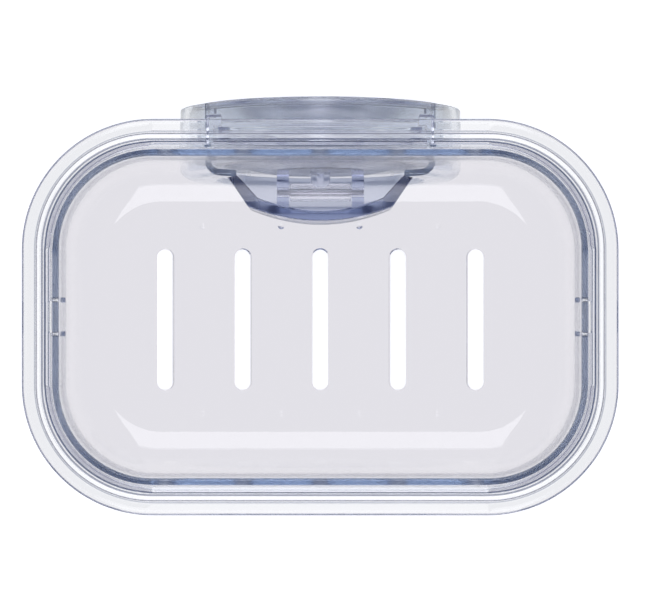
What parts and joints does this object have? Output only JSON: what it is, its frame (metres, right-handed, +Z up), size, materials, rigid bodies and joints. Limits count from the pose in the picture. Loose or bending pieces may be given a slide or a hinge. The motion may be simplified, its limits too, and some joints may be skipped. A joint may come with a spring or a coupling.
{
  "type": "suction soap dish",
  "caption": "Clear rounded soap dish with drain slots, hung from a round lever-locked suction cup that holds on a smooth wall.",
  "frame": {"origin": "centre of the suction cup's lip, on the wall plane", "axes": "+Z up, +Y towards the wall, +X along the dish's length"},
  "size_m": [0.146, 0.1039, 0.0864],
  "materials": {
    "soft_vinyl": "soft clear, slightly cloudy",
    "stem_plastic": "clear, polished",
    "pin_steel": "drawn wire",
    "housing_plastic": "clear, polished",
    "bracket_plastic": "clear, polished",
    "lever_plastic": "clear, polished",
    "frame_plastic": "clear, polished",
    "tray_plastic": "clear, polished"
  },
  "bodies": {
    "root": {"suction_cup": "soft_vinyl", "suction_housing": "housing_plastic", "wall_bracket": "bracket_plastic"},
    "stem": {"stem_anchor": "stem_plastic", "lever_pin": "pin_steel"},
    "lever": {"lock_lever": "lever_plastic"},
    "frame": {"dish_frame": "frame_plastic"},
    "tray": {"soap_tray": "tray_plastic"}
  },
  "joints": [
    {"name": "stem_slide", "type": "slide", "parent": "root", "child": "stem", "axis": [0, 1, 0], "range_m": [0, 0.0036], "deforming": ["suction_cup"]},
    {"name": "lever_flip", "type": "hinge", "parent": "stem", "child": "lever", "pos_m": [0, -0.0219, 0], "axis": [-1, 0, 0], "range_deg": [0, 90]},
    {"name": "frame_lift", "type": "slide", "parent": "root", "child": "frame", "axis": [0, 0, 1], "range_m": [0, 0.012]},
    {"name": "tray_lift", "type": "slide", "parent": "frame", "child": "tray", "axis": [0, 0, 1], "range_m": [0, 0.03]}
  ],
  "couplings": [
    {"joint": "stem_slide", "follows": "lever_flip", "m_per_rad": 0.0022282}
  ]
}
